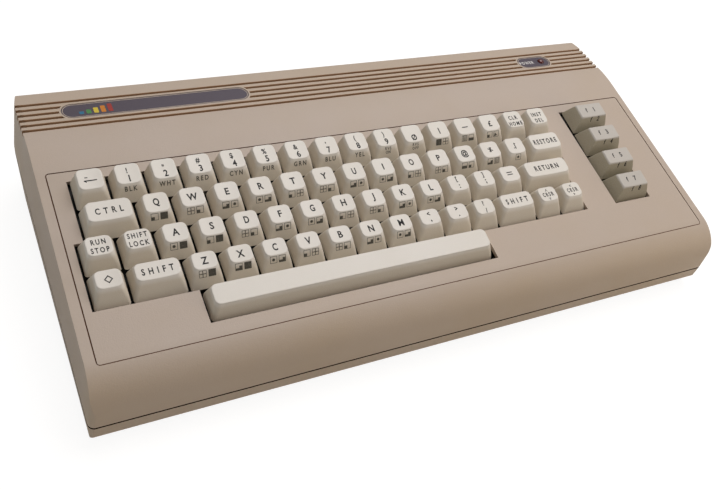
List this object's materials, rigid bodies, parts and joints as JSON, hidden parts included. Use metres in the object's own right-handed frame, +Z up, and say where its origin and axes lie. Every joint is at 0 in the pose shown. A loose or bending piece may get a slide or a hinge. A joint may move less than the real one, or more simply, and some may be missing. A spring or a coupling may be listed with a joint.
{
  "type": "vintage home computer",
  "caption": "Vintage home computer: a wedge-shaped two-part case with a full keyboard, function keys, power switch and expansion ports.",
  "frame": {"origin": "on the table under the middle of the case", "axes": "+X to the user's right along the case, +Y to the rear ports, +Z up"},
  "size_m": [0.404, 0.208, 0.0749],
  "materials": {
    "case": "fine moulded texture, warm beige-brown",
    "badge": "dark grey printed plate",
    "lamp": "dark red lens",
    "keyboard_frame": "black moulding",
    "circuit_board": "solder mask over fibre board",
    "spring_wire": "drawn wire",
    "ribbon": "grey ribbon cable",
    "lead": "red insulation",
    "chip": "black epoxy package",
    "capacitor": "blue sleeve",
    "heat_sink": "raw extrusion",
    "tin_plate": "tinned sheet",
    "black_plastic": "moulded",
    "socket_metal": "nickel plated",
    "rubber_foot": "matt",
    "screw": "zinc plated",
    "key_cap": "off-white moulded cap with printed legends",
    "function_cap": "darker grey-beige moulded cap with printed legends"
  },
  "bodies": {
    "case": {"top_case": "case", "bottom_case": "case", "name_badge": "badge", "power_badge": "badge", "power_led": "lamp", "keyboard_frame": "keyboard_frame", "keyboard_board": "circuit_board", "key_springs": "spring_wire", "keyboard_ribbon": "ribbon", "led_cable": "lead", "main_board": "circuit_board", "logic_chips": "chip", "memory_chips": "chip", "capacitors": "capacitor", "heat_sink": "heat_sink", "fuse": "tin_plate", "video_shield_box": "tin_plate", "rf_modulator": "tin_plate", "rf_jack": "tin_plate", "channel_switch": "tin_plate", "cartridge_connector": "black_plastic", "joystick_ports": "black_plastic", "power_socket": "black_plastic", "power_switch_housing": "black_plastic", "av_socket": "socket_metal", "serial_socket": "socket_metal", "board_shield": "tin_plate", "rubber_feet": "rubber_foot", "case_screws": "screw", "board_screws": "screw", "keyboard_screws": "screw"},
    "number_row_keys": {"number_row_keys": "key_cap"},
    "upper_row_keys": {"upper_row_keys": "key_cap"},
    "home_row_keys": {"home_row_keys": "key_cap"},
    "lower_row_keys": {"lower_row_keys": "key_cap"},
    "home_key": {"home_key": "key_cap"},
    "delete_key": {"delete_key": "key_cap"},
    "control_key": {"control_key": "key_cap"},
    "restore_key": {"restore_key": "key_cap"},
    "run_stop_key": {"run_stop_key": "key_cap"},
    "shift_lock_key": {"shift_lock_key": "key_cap"},
    "return_key": {"return_key": "key_cap"},
    "command_key": {"command_key": "key_cap"},
    "left_shift_key": {"left_shift_key": "key_cap"},
    "right_shift_key": {"right_shift_key": "key_cap"},
    "cursor_down_key": {"cursor_down_key": "key_cap"},
    "cursor_right_key": {"cursor_right_key": "key_cap"},
    "space_bar": {"space_bar": "key_cap"},
    "function_key_1": {"function_key_1": "function_cap"},
    "function_key_3": {"function_key_3": "function_cap"},
    "function_key_5": {"function_key_5": "function_cap"},
    "function_key_7": {"function_key_7": "function_cap"},
    "stabilizer": {"space_bar_stabilizer": "spring_wire"},
    "channel_slider": {"channel_slider": "black_plastic"},
    "power_rocker": {"power_switch_rocker": "black_plastic"}
  },
  "joints": [
    {"name": "number_row_keys_press", "type": "slide", "parent": "case", "child": "number_row_keys", "axis": [0, -0.225, 0.9744], "range_m": [-0.0038, 0], "stiffness_N_per_m": 1540, "springref_m": 0.0025, "deforming": ["key_springs"]},
    {"name": "upper_row_keys_press", "type": "slide", "parent": "case", "child": "upper_row_keys", "axis": [0, -0.225, 0.9744], "range_m": [-0.0038, 0], "stiffness_N_per_m": 1430, "springref_m": 0.0025, "deforming": ["key_springs"]},
    {"name": "home_row_keys_press", "type": "slide", "parent": "case", "child": "home_row_keys", "axis": [0, -0.225, 0.9744], "range_m": [-0.0038, 0], "stiffness_N_per_m": 1320, "springref_m": 0.0025, "deforming": ["key_springs"]},
    {"name": "lower_row_keys_press", "type": "slide", "parent": "case", "child": "lower_row_keys", "axis": [0, -0.225, 0.9744], "range_m": [-0.0038, 0], "stiffness_N_per_m": 1100, "springref_m": 0.0025, "deforming": ["key_springs"]},
    {"name": "home_key_press", "type": "slide", "parent": "case", "child": "home_key", "axis": [0, -0.225, 0.9744], "range_m": [-0.0038, 0], "stiffness_N_per_m": 110, "springref_m": 0.0025, "deforming": ["key_springs"]},
    {"name": "delete_key_press", "type": "slide", "parent": "case", "child": "delete_key", "axis": [0, -0.225, 0.9744], "range_m": [-0.0038, 0], "stiffness_N_per_m": 110, "springref_m": 0.0025, "deforming": ["key_springs"]},
    {"name": "control_key_press", "type": "slide", "parent": "case", "child": "control_key", "axis": [0, -0.225, 0.9744], "range_m": [-0.0038, 0], "stiffness_N_per_m": 110, "springref_m": 0.0025, "deforming": ["key_springs"]},
    {"name": "restore_key_press", "type": "slide", "parent": "case", "child": "restore_key", "axis": [0, -0.225, 0.9744], "range_m": [-0.0038, 0], "stiffness_N_per_m": 110, "springref_m": 0.0025, "deforming": ["key_springs"]},
    {"name": "run_stop_key_press", "type": "slide", "parent": "case", "child": "run_stop_key", "axis": [0, -0.225, 0.9744], "range_m": [-0.0038, 0], "stiffness_N_per_m": 110, "springref_m": 0.0025, "deforming": ["key_springs"]},
    {"name": "shift_lock_key_press", "type": "slide", "parent": "case", "child": "shift_lock_key", "axis": [0, -0.225, 0.9744], "range_m": [-0.0038, 0], "stiffness_N_per_m": 110, "springref_m": 0.0025, "deforming": ["key_springs"]},
    {"name": "return_key_press", "type": "slide", "parent": "case", "child": "return_key", "axis": [0, -0.225, 0.9744], "range_m": [-0.0038, 0], "stiffness_N_per_m": 110, "springref_m": 0.0025, "deforming": ["key_springs"]},
    {"name": "command_key_press", "type": "slide", "parent": "case", "child": "command_key", "axis": [0, -0.225, 0.9744], "range_m": [-0.0038, 0], "stiffness_N_per_m": 110, "springref_m": 0.0025, "deforming": ["key_springs"]},
    {"name": "left_shift_key_press", "type": "slide", "parent": "case", "child": "left_shift_key", "axis": [0, -0.225, 0.9744], "range_m": [-0.0038, 0], "stiffness_N_per_m": 110, "springref_m": 0.0025, "deforming": ["key_springs"]},
    {"name": "right_shift_key_press", "type": "slide", "parent": "case", "child": "right_shift_key", "axis": [0, -0.225, 0.9744], "range_m": [-0.0038, 0], "stiffness_N_per_m": 110, "springref_m": 0.0025, "deforming": ["key_springs"]},
    {"name": "cursor_down_key_press", "type": "slide", "parent": "case", "child": "cursor_down_key", "axis": [0, -0.225, 0.9744], "range_m": [-0.0038, 0], "stiffness_N_per_m": 110, "springref_m": 0.0025, "deforming": ["key_springs"]},
    {"name": "cursor_right_key_press", "type": "slide", "parent": "case", "child": "cursor_right_key", "axis": [0, -0.225, 0.9744], "range_m": [-0.0038, 0], "stiffness_N_per_m": 110, "springref_m": 0.0025, "deforming": ["key_springs"]},
    {"name": "space_bar_press", "type": "slide", "parent": "case", "child": "space_bar", "axis": [0, -0.225, 0.9744], "range_m": [-0.0038, 0], "stiffness_N_per_m": 110, "springref_m": 0.0025, "deforming": ["key_springs"]},
    {"name": "function_key_1_press", "type": "slide", "parent": "case", "child": "function_key_1", "axis": [0, -0.225, 0.9744], "range_m": [-0.0038, 0], "stiffness_N_per_m": 110, "springref_m": 0.0025, "deforming": ["key_springs"]},
    {"name": "function_key_3_press", "type": "slide", "parent": "case", "child": "function_key_3", "axis": [0, -0.225, 0.9744], "range_m": [-0.0038, 0], "stiffness_N_per_m": 110, "springref_m": 0.0025, "deforming": ["key_springs"]},
    {"name": "function_key_5_press", "type": "slide", "parent": "case", "child": "function_key_5", "axis": [0, -0.225, 0.9744], "range_m": [-0.0038, 0], "stiffness_N_per_m": 110, "springref_m": 0.0025, "deforming": ["key_springs"]},
    {"name": "function_key_7_press", "type": "slide", "parent": "case", "child": "function_key_7", "axis": [0, -0.225, 0.9744], "range_m": [-0.0038, 0], "stiffness_N_per_m": 110, "springref_m": 0.0025, "deforming": ["key_springs"]},
    {"name": "stabilizer_turn", "type": "hinge", "parent": "case", "child": "stabilizer", "pos_m": [-0.05115, -0.07435, 0.04515], "axis": [1, 0, 0], "range_deg": [-25, 0]},
    {"name": "channel_slide", "type": "slide", "parent": "case", "child": "channel_slider", "axis": [1, 0, 0], "range_m": [0, 0.0026]},
    {"name": "power_rocker_turn", "type": "hinge", "parent": "case", "child": "power_rocker", "pos_m": [0.193, 0.034, 0.023], "axis": [0, 0, 1], "range_deg": [0, 16]}
  ],
  "couplings": [
    {"joint": "stabilizer_turn", "follows": "space_bar_press", "rad_per_m": 111.95}
  ]
}
